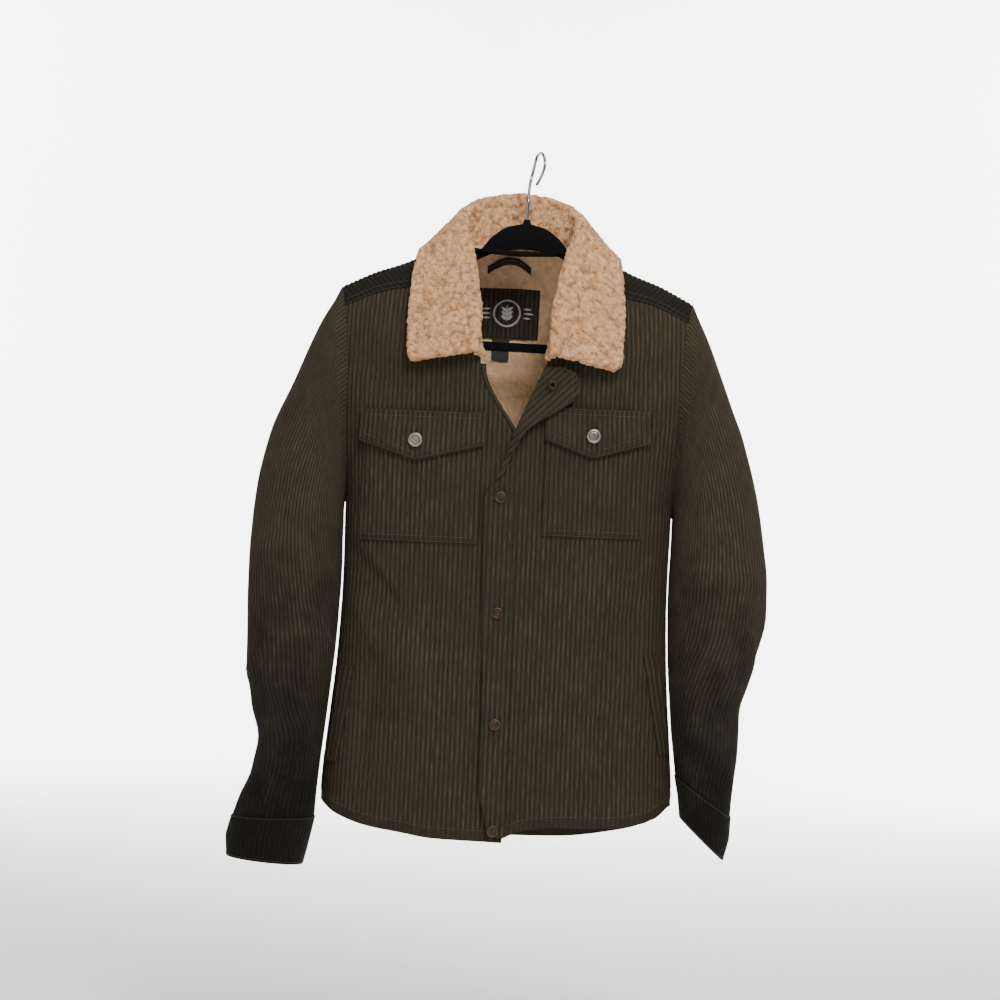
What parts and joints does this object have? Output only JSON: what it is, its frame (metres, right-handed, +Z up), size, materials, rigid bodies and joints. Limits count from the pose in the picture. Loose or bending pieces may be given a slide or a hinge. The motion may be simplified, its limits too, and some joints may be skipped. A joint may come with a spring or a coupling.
{
  "type": "sherpa lined jacket on a hanger",
  "caption": "Wide-wale corduroy trucker-style jacket with a curly pile collar and lining, open at the neck, hanging on a slim flocked hanger.",
  "frame": {"origin": "where the rail touches the inside of the hook's bend", "axes": "+Z up, +X to the viewer's right as the jacket's front is seen, +Y from the front to the back"},
  "size_m": [0.6335, 0.1687, 0.8696],
  "materials": {
    "corduroy": "dark olive wide-wale corduroy, soft nap with paler ridges",
    "curly_pile": "tan curly pile, matte",
    "label_corduroy": "dark brown-olive corduroy",
    "woven_tab": "black woven tape",
    "bronze_snap": "dark antique bronze",
    "silver_snap": "worn silver plate",
    "flocked_plastic": "black flock",
    "polished_wire": "polished wire"
  },
  "bodies": {
    "root": {"front_right": "corduroy", "front_left": "corduroy", "back": "corduroy", "yoke": "corduroy", "sleeve_right": "corduroy", "sleeve_left": "corduroy", "cuff_right": "corduroy", "cuff_left": "corduroy", "pocket_right": "corduroy", "pocket_left": "corduroy", "flap_right": "corduroy", "flap_left": "corduroy", "placket": "corduroy", "lapel": "corduroy", "facing_right": "corduroy", "welt_right": "corduroy", "welt_left": "corduroy", "collar": "curly_pile", "lining_back": "curly_pile", "lining_right": "curly_pile", "lining_left": "curly_pile", "label_patch": "label_corduroy", "neck_loop": "label_corduroy", "size_tab": "woven_tab", "placket_snap_1": "bronze_snap", "placket_snap_2": "bronze_snap", "placket_snap_3": "bronze_snap", "placket_snap_4": "bronze_snap", "snap_socket": "bronze_snap", "flap_snap_right": "silver_snap", "flap_snap_left": "silver_snap", "hanger_body": "flocked_plastic", "hanger_hook": "polished_wire"}
  },
  "joints": []
}
